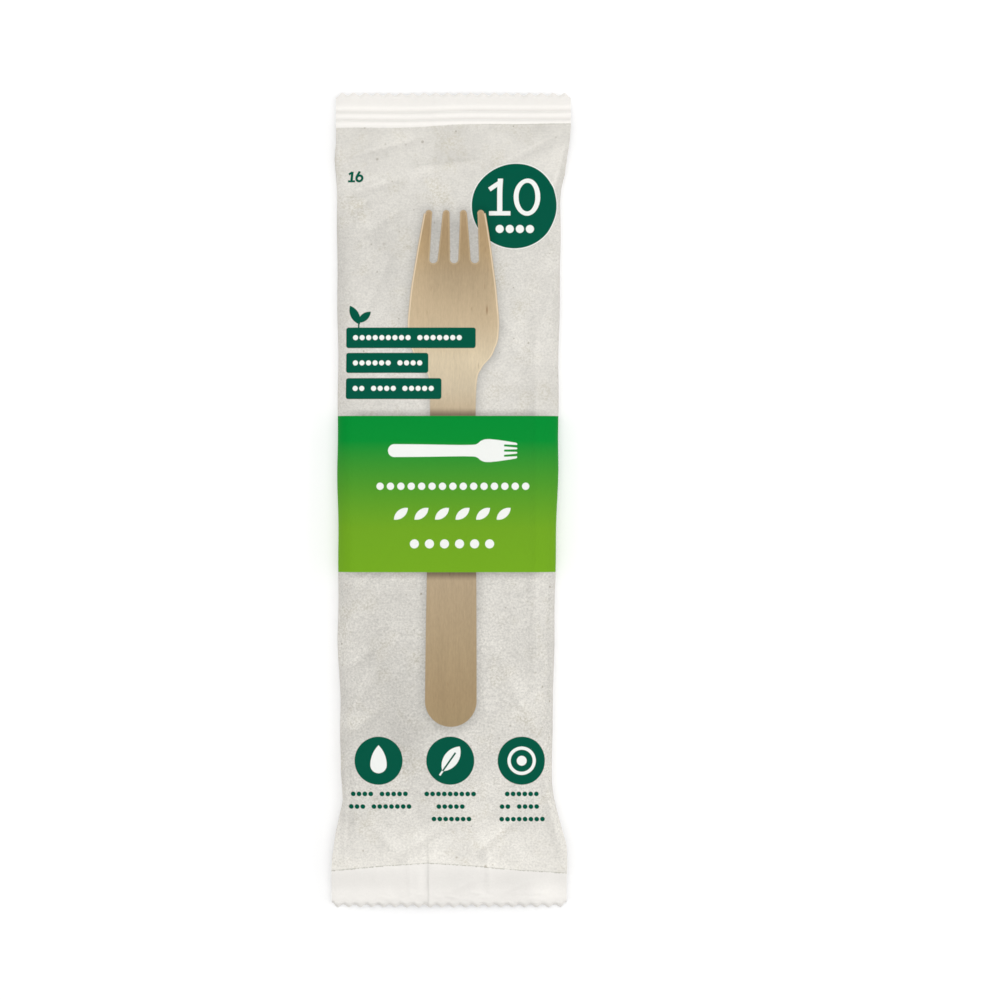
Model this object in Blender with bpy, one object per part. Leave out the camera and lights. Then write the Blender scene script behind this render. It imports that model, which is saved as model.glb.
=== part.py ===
"""A sealed paper pack of wooden forks, lying on its back seam with the printed side up."""

import math

import bmesh
import bpy

# Sizes are in metres. X runs across the pack, Y along it, and Z up from what it lies on.

# The tube of paper: its whole length with both seals, and its width when pressed flat
pack_length = 0.190
tube_width = 0.055

# What the forks inside make of it: its height at the two ends of the filled part
height_near_top = 0.0058
height_near_bottom = 0.0090

# The pressed seals across the two ends
top_seal_length = 0.0076
bottom_seal_length = 0.0090
seal_thickness = 0.0005
top_seal_level = 0.0029
bottom_seal_level = 0.0039
tooth_pitch = 0.00275
tooth_depth = 0.0007

# Grooves crimped across the top seal, counted from where the seal begins
crimp_from_root = 0.0017
crimp_pitch = 0.0019
crimp_width = 0.0011
crimp_depth = 0.00018

# How far the tube takes to close from its full height to a seal
top_closing_length = 0.0165
bottom_closing_length = 0.0210

# The filled part sits a little left of the seals, and each seal leans its own way
shift_near_top = -0.0006
shift_near_bottom = -0.0013
seal_shift = 0.00065

# The back seam: a fin folded flat against the underside
fin_free_edge = -0.0046
fin_width = 0.0096
fin_groove_width = 0.0007
fin_groove_depth = 0.00035
fin_thickness = 0.00012

# Soft folds of the upper layer that start at each seal: place across, lean and depth
fold_half_width = 0.0024
folds_at_top = (
    (-0.0215, -0.10, 0.00045),
    (-0.0120, 0.25, 0.00035),
    (0.0020, -0.15, 0.00030),
    (0.0130, 0.30, 0.00045),
    (0.0225, 0.05, 0.00050),
)
folds_at_bottom = (
    (-0.0225, -0.10, 0.00055),
    (-0.0135, 0.20, 0.00050),
    (-0.0030, -0.30, 0.00060),
    (0.0080, 0.15, 0.00045),
    (0.0190, -0.20, 0.00060),
)

# A long soft fold down the right of the printed side
side_fold_place = 0.0228
side_fold_depth = 0.0003

# The printed band of colour that goes round the pack
band_bottom = -0.0168
band_top = 0.0196

# How closely the surface is divided
row_spacing = 0.011
closing_rows = 9
fold_edge = 0.0003
least_spacing = 0.00002


def printed_paper():
    return paper_material("printed_paper", (0.64, 0.60, 0.55, 1.0), 0.62)


def plain_paper():
    return paper_material("plain_paper", (0.83, 0.80, 0.76, 1.0), 0.60)


def green_print():
    return paper_material("green_print", (0.055, 0.27, 0.030, 1.0), 0.55)


def paper_material(name, colour, roughness):
    material = bpy.data.materials.new(name)
    material.use_nodes = True
    shader = material.node_tree.nodes["Principled BSDF"]
    shader.inputs["Base Color"].default_value = colour
    shader.inputs["Roughness"].default_value = roughness
    shader.inputs["Metallic"].default_value = 0.0
    material.diffuse_color = colour
    return material


def eased(share):
    """From 0 to 1 with a level start and end."""
    share = min(max(share, 0.0), 1.0)
    return share * share * (3.0 - 2.0 * share)


def spaced_out(places):
    """The places in order, without those that all but touch the one before."""
    kept = []
    for place in sorted(places):
        if not kept or place - kept[-1] > least_spacing:
            kept.append(place)
    return kept


top_root = pack_length / 2 - top_seal_length
bottom_root = -pack_length / 2 + bottom_seal_length
top_shoulder = top_root - top_closing_length
bottom_shoulder = bottom_root + bottom_closing_length
tooth_count = max(1, round(tube_width / tooth_pitch))
half_tooth = tube_width / tooth_count / 2
fin_root = fin_free_edge + fin_width


def crimp_places():
    room = top_seal_length - tooth_depth - crimp_from_root
    count = max(1, int(room / crimp_pitch))
    return [top_root + crimp_from_root + crimp_pitch * i for i in range(count)]


def closing(y):
    """How far the tube has closed at y: 0 where it is full, 1 where it is sealed."""
    if y > top_shoulder:
        return eased((y - top_shoulder) / top_closing_length)
    return eased((bottom_shoulder - y) / bottom_closing_length)


def between_shoulders(near_bottom, near_top, y):
    """A value that goes evenly from one end of the filled part to the other."""
    share = eased((y - bottom_shoulder) / (top_shoulder - bottom_shoulder))
    return near_bottom + (near_top - near_bottom) * share


def height(y):
    """The filled tube's height at y."""
    return between_shoulders(height_near_bottom, height_near_top, y)


def body_shift(y):
    """How far the filled tube's middle lies to the side at y."""
    return between_shoulders(shift_near_bottom, shift_near_top, y)


def full_section(flat, y):
    """Where a point of the upper layer lies across the filled tube, from its own middle.

    The tube keeps its girth: two level layers joined by half circles at its sides.
    """
    radius = height(y) / 2
    level_half = (tube_width - math.pi * radius) / 2
    if abs(flat) <= level_half:
        return flat, radius
    turn = (abs(flat) - level_half) / radius
    return math.copysign(level_half + radius * math.sin(turn), flat), radius * math.cos(turn)


def crimp(y):
    """How far both layers are pressed down at y by the crimping tool."""
    pressed = 0.0
    for place in crimp_places():
        pressed += max(0.0, 1.0 - abs(y - place) / (crimp_width / 2))
    return crimp_depth * pressed


def fin_groove(flat):
    """1 along the two edges of the fin, and 0 away from them."""
    nearest = min(abs(flat - fin_free_edge), abs(flat - fin_root))
    return max(0.0, 1.0 - nearest / (fin_groove_width / 2))


def soft_folds(flat, y):
    """How far the upper layer is drawn down at a point of the filled part."""
    depth = 0.0
    for root, reach, folds in (
        (top_root, top_closing_length, folds_at_top),
        (bottom_root, bottom_closing_length, folds_at_bottom),
    ):
        away = abs(y - root)
        strength = math.sin(math.pi * min(away / (1.6 * reach), 1.0))
        for place, lean, deep in folds:
            off = abs(flat - place - lean * away) / fold_half_width
            depth += deep * strength * eased(1.0 - off)
    side = abs(flat - side_fold_place) / fold_half_width
    depth += side_fold_depth * eased(1.0 - side) * (1.0 - closing(y))
    return depth


def layer_point(flat, y, upper):
    """A point of the upper or the under layer, from its place on the flat tube."""
    shut = closing(y)
    across, rise = full_section(flat, y)
    side = 1.0 if upper else -1.0
    at_edge = abs(flat) > tube_width / 2 - least_spacing
    leaf = 0.0 if at_edge else seal_thickness / 2
    over_fin = fin_free_edge <= flat <= fin_root
    if upper and over_fin:
        leaf += fin_thickness
    if y > 0:
        level = top_seal_level
        shift = seal_shift
    else:
        level = bottom_seal_level
        shift = -seal_shift
    x = body_shift(y) * (1.0 - shut) + shift * shut + across + (flat - across) * shut
    z = (height(y) / 2 + side * rise) * (1.0 - shut) + (level + side * leaf) * shut
    if y > top_root:
        z -= crimp(y)
    if upper and not at_edge:
        z -= soft_folds(flat, y)
    if not upper:
        z += fin_groove_depth * fin_groove(flat) * (1.0 - shut)
    return x, z


def columns():
    """Places across the flat tube, from its left edge to its right edge."""
    places = [i * half_tooth - tube_width / 2 for i in range(2 * tooth_count + 1)]
    places += [fold_edge - tube_width / 2, tube_width / 2 - fold_edge]
    for edge in (fin_free_edge, fin_root):
        places += [edge - fin_groove_width / 2, edge, edge + fin_groove_width / 2]
    return spaced_out(places)


def rows():
    """Places along the pack, between its two toothed ends."""
    places = [top_root, bottom_root, band_top, band_bottom]
    places += [pack_length / 2 - tooth_depth - fold_edge, tooth_depth + fold_edge - pack_length / 2]
    for place in crimp_places():
        places += [place - crimp_width / 2, place, place + crimp_width / 2]
    for i in range(1, closing_rows + 1):
        places.append(top_root - top_closing_length * i / closing_rows)
        places.append(bottom_root + bottom_closing_length * i / closing_rows)
    middle = top_shoulder - bottom_shoulder
    steps = max(2, round(middle / row_spacing))
    places += [bottom_shoulder + middle * i / steps for i in range(1, steps)]
    return spaced_out(places)


def tooth(flat):
    """How far the end is cut back at a place across: 0 at a tip, the full depth in a notch."""
    from_notch = abs((flat + tube_width / 2) / half_tooth % 2.0 - 1.0)
    return tooth_depth * from_notch


def ring(mesh, y, toothed):
    """One row of points right round the tube: the upper layer left to right, then back under."""
    places = columns()
    points = [(flat, True) for flat in places]
    points += [(flat, False) for flat in reversed(places[1:-1])]
    made = []
    for flat, upper in points:
        x, z = layer_point(flat, y, upper)
        cut_back = math.copysign(tooth(flat), y) if toothed else 0.0
        made.append(mesh.verts.new((x, y - cut_back, z)))
    return made


def close_end(mesh, points, facing_up_the_pack):
    """The paper's thin cut edge across one end."""
    last = len(points)
    half = len(columns()) - 1
    for i in range(half):
        corners = [points[i], points[i + 1], points[last - i - 1], points[(last - i) % last]]
        corners = list(dict.fromkeys(corners))
        if facing_up_the_pack:
            corners.reverse()
        mesh.faces.new(corners)


def wrapped_forks():
    """The whole sealed pack as one closed body."""
    mesh = bmesh.new()
    levels = [-pack_length / 2] + rows() + [pack_length / 2]
    rings = [ring(mesh, y, y in (levels[0], levels[-1])) for y in levels]
    for k in range(len(levels) - 1):
        middle = (levels[k] + levels[k + 1]) / 2
        look = 0
        if middle > top_root or middle < bottom_root:
            look = 1
        elif band_bottom < middle < band_top:
            look = 2
        near, far = rings[k], rings[k + 1]
        for i in range(len(near)):
            j = (i + 1) % len(near)
            face = mesh.faces.new((near[i], near[j], far[j], far[i]))
            face.material_index = look
    close_end(mesh, rings[0], False)
    close_end(mesh, rings[-1], True)
    bmesh.ops.recalc_face_normals(mesh, faces=mesh.faces)
    bmesh.ops.triangulate(mesh, faces=mesh.faces, quad_method="SHORT_EDGE")

    data = bpy.data.meshes.new("sealed_pack")
    mesh.to_mesh(data)
    mesh.free()
    for material in (printed_paper(), plain_paper(), green_print()):
        data.materials.append(material)
    data.shade_smooth()
    data.set_sharp_from_angle(angle=math.radians(40))
    pack = bpy.data.objects.new("sealed_pack", data)
    bpy.context.collection.objects.link(pack)
    return pack


def main():
    for thing in list(bpy.data.objects):
        bpy.data.objects.remove(thing, do_unlink=True)
    wrapped_forks()


main()
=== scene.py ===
"""Looks of a sealed paper pack of wooden forks: its creased wrapper, seals, back fin and print."""

import functools
import math

import bpy
import numpy as np
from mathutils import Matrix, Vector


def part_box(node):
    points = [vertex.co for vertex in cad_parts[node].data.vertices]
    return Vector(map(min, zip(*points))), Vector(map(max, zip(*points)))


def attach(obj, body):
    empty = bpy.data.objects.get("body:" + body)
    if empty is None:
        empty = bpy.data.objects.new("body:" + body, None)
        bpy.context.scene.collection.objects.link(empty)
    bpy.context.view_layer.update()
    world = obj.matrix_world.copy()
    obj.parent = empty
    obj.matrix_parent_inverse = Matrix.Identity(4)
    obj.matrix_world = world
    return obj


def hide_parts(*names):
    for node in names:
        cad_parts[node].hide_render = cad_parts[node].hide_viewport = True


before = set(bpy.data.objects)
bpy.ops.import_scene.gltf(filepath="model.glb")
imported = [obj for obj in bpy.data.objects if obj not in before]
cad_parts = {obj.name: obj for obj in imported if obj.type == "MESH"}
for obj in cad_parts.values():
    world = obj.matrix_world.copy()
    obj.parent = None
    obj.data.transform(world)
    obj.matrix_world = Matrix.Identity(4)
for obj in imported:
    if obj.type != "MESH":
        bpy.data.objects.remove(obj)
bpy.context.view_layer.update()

# Lengths are in millimetres until a mesh's points are written. X runs across the pack, Y along
# it, and Z up. "Flat" is a place across the tube of paper as it is when pressed flat.
MM = 0.001
low_corner, high_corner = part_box("sealed_pack")

# Construction sizes, the same as in the solid
seal_shift = 0.65
pack_length = (high_corner[1] - low_corner[1]) / MM
tube_width = (high_corner[0] - low_corner[0]) / MM - 2 * seal_shift
height_near_bottom = (high_corner[2] - low_corner[2]) / MM
height_near_top = 5.8
shift_near_top = -0.6
shift_near_bottom = -1.3
top_seal_length = 7.6
bottom_seal_length = 9.0
top_seal_level = 2.9
bottom_seal_level = 3.9
top_closing_length = 16.5
bottom_closing_length = 21.0
tooth_pitch = 2.75
tooth_depth = 0.75
tooth_overhang = 0.5
top_end_curl = 0.5
bottom_end_curl = 0.8
rib_places = (87.95, 89.85, 91.8)
rib_height = 0.15
rib_half_width = 0.55
valley_places = (88.9, 90.8)
valley_depth = 0.20
valley_half_width = 0.30
seal_leaf = 0.20
edge_leaf = 0.06
fin_free_edge = -4.6
fin_root = 5.0
fin_paper = 0.24
fin_lift = 0.30
fin_gap = 0.015
fin_rib_pitch = 1.1
least_height = 0.03

top_root = pack_length / 2 - top_seal_length
bottom_root = -pack_length / 2 + bottom_seal_length
top_shoulder = top_root - top_closing_length
bottom_shoulder = bottom_root + bottom_closing_length

# Soft folds of the upper layer that start at each seal: place across, lean and depth
folds_at_top = (
    (-21.5, -0.10, 0.45),
    (-12.0, 0.25, 0.35),
    (2.0, -0.15, 0.30),
    (13.0, 0.30, 0.45),
    (22.5, 0.05, 0.50),
)
folds_at_bottom = (
    (-22.5, -0.10, 0.55),
    (-13.5, 0.20, 0.50),
    (-3.0, -0.30, 0.60),
    (8.0, 0.15, 0.45),
    (19.0, -0.20, 0.60),
)
fold_half_width = 2.4
side_fold_place = 22.8
side_fold_depth = 0.3

# Creases of the printed side: from and to as (flat, y), half width, and height of the ridge
front_creases = (
    ((-25.5, 80.0), (-4.0, 86.2), 1.3, 0.28),
    ((-26.0, 70.6), (-7.5, 76.6), 1.3, 0.28),
    ((-24.0, 66.4), (-16.5, 72.0), 1.0, 0.22),
    ((-22.0, 61.0), (-8.0, 70.0), 1.8, 0.15),
    ((-13.0, 77.6), (9.6, 80.4), 1.0, -0.26),
    ((-25.2, -40.0), (-14.5, -32.6), 1.2, 0.24),
    ((-25.0, -56.0), (-13.5, -46.6), 1.2, 0.26),
    ((24.4, -2.0), (24.6, -62.0), 0.6, -0.14),
    ((2.0, 71.0), (21.0, 79.5), 1.8, 0.15),
    ((7.0, 76.0), (26.5, 87.0), 1.6, 0.30),
    ((22.0, 64.0), (26.9, 87.0), 1.3, 0.38),
    ((-26.0, 62.0), (-26.8, 87.0), 1.3, 0.30),
    ((-24.5, 33.0), (-11.0, 63.0), 2.4, 0.14),
    ((16.0, 22.0), (24.0, 52.0), 2.2, -0.14),
    ((20.6, 62.0), (21.2, -62.0), 1.0, 0.18),
    ((9.0, 50.0), (21.0, 28.0), 2.2, 0.12),
    ((-23.0, -24.0), (-9.0, -6.0), 2.2, 0.10),
    ((-24.0, -52.0), (-10.0, -30.0), 2.4, 0.16),
    ((10.0, -30.0), (23.0, -58.0), 2.4, 0.15),
    ((8.0, -55.0), (22.0, -42.0), 2.0, -0.12),
    ((-26.2, -58.0), (-27.0, -86.0), 1.3, 0.40),
    ((-23.0, -56.0), (-24.5, -85.0), 1.8, 0.26),
    ((-20.0, -72.0), (-9.0, -86.0), 1.5, 0.12),
    ((-14.0, -84.0), (3.0, -74.0), 1.6, 0.16),
    ((4.0, -84.0), (20.0, -71.0), 1.6, 0.24),
    ((23.0, -60.0), (26.8, -86.0), 1.4, 0.40),
    ((-9.2, -80.0), (-8.8, -94.6), 0.6, 0.18),
    ((9.4, -79.0), (9.6, -94.6), 0.6, 0.26),
    ((-3.5, -93.5), (8.0, -88.2), 1.5, 0.18),
    ((10.5, -93.0), (22.0, -88.0), 1.5, 0.16),
    ((-16.6, -84.0), (-17.2, -91.0), 0.6, 0.08),
    ((27.2, -87.6), (17.6, -95.0), 0.8, -0.12),
    ((-27.2, 92.6), (-23.5, 95.0), 0.8, 0.16),
    ((1.0, 92.0), (9.0, 95.0), 0.9, 0.10),
    ((-16.0, 95.0), (-10.0, 91.6), 0.9, 0.08),
)
back_creases = (
    ((-24.0, 62.0), (-8.0, 82.0), 1.8, -0.25),
    ((22.0, 60.0), (9.0, 84.0), 1.8, -0.25),
    ((-23.0, -60.0), (-10.0, -82.0), 1.8, -0.30),
    ((23.0, -58.0), (11.0, -83.0), 1.8, -0.30),
    ((-21.0, 10.0), (-9.0, 38.0), 2.0, -0.14),
    ((20.0, -30.0), (9.0, 2.0), 2.0, -0.14),
)

# How far the body's left and right outlines stray to the right, along the pack
left_outline = (
    (-88.0, 0.3), (-84.0, 0.35), (-77.0, 0.65), (-70.0, 1.4), (-63.0, 0.55), (-56.0, 0.45),
    (-47.0, 0.6), (-33.0, 0.0), (60.0, 0.0), (70.0, -0.2), (79.5, -0.5), (84.0, 0.0),
)
right_outline = (
    (-88.0, 0.3), (-84.0, 0.65), (-80.5, 1.0), (-76.0, 0.6), (-70.0, 0.2), (-50.0, 0.2),
    (-33.0, 0.3), (-19.0, 0.5), (7.0, 0.55), (47.0, 0.37), (69.0, 0.45), (76.0, 0.93),
    (80.5, 0.4), (86.0, 0.0),
)

# How high each kind of small relief stands, and how far the edges and the ends reach
crease_strength = 1.4
small_crease_height = 0.13
swell_height = 0.13
gather_height = 0.14
fold_share = 0.42
quilt_height = 0.16
quilt_half_length = 13.0
fin_step_at_top = 0.04
fin_step_at_bottom = 0.16
edge_reach = 3.0
edge_rounding = 0.8
corner_cut = 0.5
corner_reach = 1.6
tooth_reach = 2.0
curl_reach = 0.8
wave_fade = 4.0
top_droop = 0.45
bottom_droop = 1.0
droop_length = 5.5
ripple_height = 0.22

# How finely the wrapper and the fin are divided
columns_across = 120
row_bands = (
    (-pack_length / 2, bottom_root, 34),
    (bottom_root, bottom_shoulder, 70),
    (bottom_shoulder, top_shoulder, 186),
    (top_shoulder, top_root, 58),
    (top_root, pack_length / 2, 52),
)
fin_columns = 12

# Printed colours, as they look on the paper
paper_colour = (216, 213, 206)
plain_colour = (240, 237, 232)
stain_colour = (198, 189, 160)
speck_colour = (158, 150, 136)
dark_green = (0, 85, 65)
band_greens = ((0.0, (116, 169, 33)), (0.28, (112, 165, 35)), (0.55, (80, 153, 42)),
               (0.84, (6, 141, 51)), (1.0, (1, 139, 52)))
white_ink = (242, 244, 240)
# Painted shade along the print's end at the seals
print_end_shade_colour = (158, 156, 144)
wood_fleck_colour = (140, 112, 80)
dark_fleck_colour = (138, 104, 70)
rim_colour = (240, 220, 190)
slot_rim_colour = (226, 206, 176)
wood_edge_colour = (150, 128, 98)

# How soft the edges of print are, and how strongly the creases' wear, painted highlight and painted
# shade show on bare paper and on ink
print_softness = 0.14
crease_shading_on_paper = 0.085
crease_shading_on_ink = 0.020

# The band that goes round the pack, and the shadow that it seems to cast
band_bottom = -16.8
band_top = 19.6
band_shadow = 0.34
band_shadow_reach = 2.0

# The printed fork figure: its middle across, and half widths of its outline along the pack.
# Its slots, tips and shades follow.
fork_middle = 1.4
fork_outline = (
    (-46.5, 6.0), (-16.8, 5.75), (5.0, 5.4), (19.7, 5.3), (27.8, 5.6), (30.6, 6.6),
    (35.0, 9.6), (40.0, 10.65), (46.0, 10.3), (55.0, 9.15), (68.0, 7.0),
)
fork_end = -52.7
fork_tips = 67.65
tip_radius = 0.8
tine_places = (2.0, 6.05)
slot_bottom = 55.2
slot_radius = 0.95
slot_widening = 0.025
outer_slot_place = 4.8
outer_slot_lean = -0.067
fork_greatest_half = 12.0
tine_stray = 0.22
figure_shadow = 0.25
tine_shadow = 0.28
wood_shadow = 0.40
wood_shadow_reach = 2.2
wood_shades = (
    (0.00, (165, 144, 110)), (0.06, (166, 144, 111)), (0.14, (172, 151, 119)),
    (0.27, (179, 159, 130)), (0.60, (190, 170, 141)), (0.655, (205, 190, 163)),
    (0.71, (214, 198, 169)), (0.78, (198, 178, 147)), (0.87, (182, 161, 130)),
    (0.92, (172, 148, 113)), (0.96, (169, 144, 109)), (1.00, (177, 151, 116)),
)

# Noise along the wood: its stretch, detail and roughness, and how much it varies the light
wood_grains = (
    ((2.6, 0.11, 1.0), 4.0, 0.65, 0.21),
    ((0.35, 0.035, 1.0), 2.0, 0.5, 0.14),
    ((3.2, 0.8, 1.0), 2.0, 0.6, 0.24),
)

# Soft lighter and darker places of the figure: middle across and along, reach, and how light
wood_spots = (
    (1.2, 53.5, 7.0, 12.0, 0.92),
    (-7.8, 60.0, 3.4, 9.0, 1.12),
    (8.0, 60.0, 3.4, 9.0, 1.14),
    (5.0, 33.5, 4.5, 6.0, 1.06),
    (-9.5, 50.0, 4.5, 16.0, 1.13),
    (9.5, 50.0, 3.0, 16.0, 1.06),
    (-2.5, 45.0, 6.0, 5.0, 1.03),
)

# The same for the paper: painted light and shade, such as the lower closing painted lighter and
# darker places where broad folds would be in shade, with some tone that differs at random
paper_light_and_tone_spots = (
    (-12.0, -44.0, 20.0, 34.0, 0.92),
    (-10.0, -52.0, 9.0, 13.0, 0.90),
    (18.0, -48.0, 13.0, 18.0, 1.06),
    (-24.0, -32.0, 4.5, 12.0, 1.06),
    (9.0, -72.0, 10.0, 10.0, 1.08),
    (16.0, -79.5, 14.0, 6.0, 1.05),
    (14.0, -38.0, 18.0, 40.0, 0.98),
    (-24.0, -76.0, 7.0, 9.0, 0.95),
    (0.0, -88.0, 90.0, 27.0, 1.24),
    (0.0, 86.0, 70.0, 16.0, 1.01),
    (16.0, 40.0, 14.0, 34.0, 1.02),
    (-18.0, 64.0, 15.0, 22.0, 0.975),
    (-25.0, -51.0, 8.0, 3.5, 1.06),
    (-7.5, -54.0, 7.0, 17.0, 0.95),
    (-16.0, -21.0, 12.0, 6.0, 0.94),
    (11.0, -83.0, 11.0, 4.5, 0.95),
    (24.0, 79.0, 8.0, 13.0, 1.07),
    (-25.0, 50.0, 5.5, 22.0, 0.94),
)

# The same for the bare paper of the seals: painted light and shade, such as a painted highlight on
# the bent corner of the bottom seal and beside the seam
seal_light_and_shade_spots = (
    (23.5, -91.5, 6.5, 5.0, 1.09),
    (3.0, -90.5, 7.0, 8.0, 0.96),
    (15.0, -91.0, 5.5, 7.0, 0.965),
    (-15.0, -90.0, 12.0, 7.0, 1.02),
    (-6.2, -88.6, 1.6, 4.0, 1.05),
)

# Round prints: middle, radius
roundel = (15.5, 68.6, 9.93)
small_discs = ((-15.35, -60.55, 5.58), (1.3, -60.55, 5.58), (17.9, -60.55, 5.58))

# Dark green tabs: left, right, bottom, top
tabs = (
    (-23.65, 6.6, 35.4, 40.2),
    (-23.65, -4.4, 29.6, 34.3),
    (-23.65, -1.3, 23.5, 28.4),
)
tab_corner = 0.6
stroke_corner = 0.1

# Rows of dots in the places of words: radius, pitch, and each row's first dot, middle height
# and how many
tab_dots = (0.60, 1.53, (
    (-21.4, 37.85, 9), (-6.4, 37.85, 7), (-21.4, 31.95, 6), (-11.0, 31.95, 4),
    (-21.4, 26.0, 2), (-17.1, 26.0, 4), (-9.8, 26.0, 5),
))
large_band_dots = (1.05, 3.5, ((-7.3, -10.2, 6),))
small_band_dots = (0.85, 2.42, ((-15.4, 3.2, 15),))
roundel_dots = (0.95, 2.35, ((12.1, 63.2, 4),))
caption_dots = (0.56, 1.36, (
    (-21.3, -68.3, 4), (-14.6, -68.3, 5), (-21.9, -71.3, 3), (-16.6, -71.3, 7),
    (-4.2, -68.3, 9), (-1.5, -71.3, 5), (-2.8, -74.3, 7),
    (14.5, -68.3, 6), (13.2, -71.3, 2), (17.2, -71.3, 4), (13.0, -74.3, 8),
))

# A row of leaves on the band: first leaf, middle height, pitch, how many
band_leaves = (-10.5, -3.2, 4.78, 6)

# The lamps: name, place and size in metres, and power
lamps = (
    ("key", (0.06, -0.04, 1.20), 1.1, 6.3),
    ("rake_right", (1.00, 0.00, 0.55), 0.5, 3.0),
    ("rake_upper_left", (-0.75, 0.70, 0.52), 0.5, 2.7),
)
world_light = 0.48
floor_glow = 0.21


def clear_selection():
    for thing in bpy.context.selected_objects:
        thing.select_set(False)


def eased(share):
    """From 0 to 1 with a level start and end."""
    share = np.clip(share, 0.0, 1.0)
    return share * share * (3.0 - 2.0 * share)


# The wrapper's form

def top_edge_wave(flat):
    """How far the top seal's inner edge strays from a straight line."""
    return 0.15 + 0.55 * np.sin((flat + 4.0) / 14.0) + 0.14 * np.sin(flat / 4.1 + 1.0)


def bottom_edge_wave(flat):
    """How far the bottom seal's inner edge strays from a straight line: highest at the seam."""
    return 1.1 - 0.079 * np.abs(flat - fin_free_edge) + 0.07 * np.sin(flat / 3.3)


def closings(y):
    """How far the tube has closed towards its top and its bottom end."""
    at_top = eased((y - top_shoulder) / top_closing_length)
    return at_top, eased((bottom_shoulder - y) / bottom_closing_length)


def along_the_pack(flat, y):
    """y as the closing of the tube sees it, with the seals' wavy inner edges."""
    at_top, at_bottom = closings(y)
    at_top = at_top * eased((pack_length / 2 - y) / wave_fade)
    at_bottom = at_bottom * eased((y + pack_length / 2) / wave_fade)
    return y - top_edge_wave(flat) * at_top - bottom_edge_wave(flat) * at_bottom


def closing(y):
    """How far the tube has closed: 0 where it is full, 1 where it is sealed."""
    return np.maximum(*closings(y))


def between_shoulders(near_bottom, near_top, y):
    share = eased((y - bottom_shoulder) / (top_shoulder - bottom_shoulder))
    return near_bottom + (near_top - near_bottom) * share


def full_section(flat, y):
    """Across and up from the filled tube's middle, and the way that its surface faces there."""
    radius = between_shoulders(height_near_bottom, height_near_top, y) / 2
    level_half = (tube_width - math.pi * radius) / 2
    turn = np.clip((np.abs(flat) - level_half) / radius, 0.0, math.pi / 2)
    across = np.where(turn > 0, level_half + radius * np.sin(turn), np.abs(flat)) * np.sign(flat)
    return across, radius * np.cos(turn), np.sin(turn) * np.sign(flat), np.cos(turn), radius


def tooth(flat):
    """How far an end is cut back: 0 at a tip, the full depth in a notch, both a little round."""
    wave = 0.5 + 0.5 * np.cos(2 * math.pi * (flat + tube_width / 2) / tooth_pitch)
    return tooth_depth * wave ** 0.85


def beside_line(flat, y, start, end):
    """How far each point lies above a line, and 1 along its middle, falling to 0 at its ends."""
    start, end = sorted((tuple(start), tuple(end)))
    start, end = np.array(start), np.array(end)
    run = end - start
    length = np.linalg.norm(run)
    run = run / length
    along = (flat - start[0]) * run[0] + (y - start[1]) * run[1]
    above = (y - start[1]) * run[0] - (flat - start[0]) * run[1]
    return above, eased(along / (0.35 * length)) * eased((length - along) / (0.35 * length))


def crease(flat, y, start, end, half_width):
    """1 along a crease between two points, falling away to its sides and its ends."""
    above, ends = beside_line(flat, y, start, end)
    return ends / (1.0 + (np.abs(above) / half_width) ** 1.6) ** 2


def crease_light_and_shade(flat, y, start, end):
    """Wear and painted light of a crease: paler along it, painted highlight above it, painted shade
    below it.
    """
    above, ends = beside_line(flat, y, start, end)
    pale = np.exp(-(above / 0.5) ** 2) + 0.5 * np.exp(-((above - 1.4) / 1.2) ** 2)
    return ends * (pale - 0.7 * np.exp(-((above + 1.3) / 1.1) ** 2))


def half_line(chance, angles, half_lengths):
    """From a line's middle to its end, by chance within these angles and half lengths."""
    angle = chance.uniform(*angles)
    return chance.uniform(*half_lengths) * np.array((math.cos(angle), math.sin(angle)))


def loose_creases(flat, y, seed):
    """Small creases at chance places, the same ones each time."""
    chance = np.random.default_rng(seed)
    total = np.zeros_like(flat)
    for _ in range(46):
        middle = np.array((chance.uniform(-23, 23), chance.uniform(-80, 82)))
        half = half_line(chance, (0, math.pi), (3.0, 10.0))
        depth = chance.uniform(-small_crease_height, small_crease_height)
        total += depth * crease(flat, y, middle - half, middle + half, chance.uniform(0.8, 1.8))
    return total


def slow_swell(flat, y, seed):
    """A slow rise and fall of the whole surface, about 1 high."""
    chance = np.random.default_rng(seed)
    total = np.zeros_like(flat)
    for _ in range(7):
        angle = chance.uniform(0, math.pi)
        length = chance.uniform(16.0, 48.0)
        wave = (flat * math.cos(angle) + y * math.sin(angle)) * 2 * math.pi / length
        total += np.sin(wave + chance.uniform(0, 2 * math.pi)) / 3.0
    return total


def gathers(flat, y, seed):
    """Fine pleats that run out of each seal into the filled part, 1 deep at the most."""
    chance = np.random.default_rng(seed)
    total = np.zeros_like(flat)
    for root, reach in ((top_root, -9.0), (bottom_root, 12.0)):
        for k in range(15):
            place = -25.0 + 3.55 * k + chance.uniform(-1.1, 1.1)
            lean = chance.uniform(-2.5, 2.5)
            length = reach * chance.uniform(0.45, 1.1)
            start = (place, root - 0.25 * length)
            end = (place + lean, root + length)
            strength = chance.uniform(0.3, 1.0) * chance.choice((-1.0, 1.0))
            total += strength * crease(flat, y, start, end, chance.uniform(0.5, 1.0))
    return total


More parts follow.
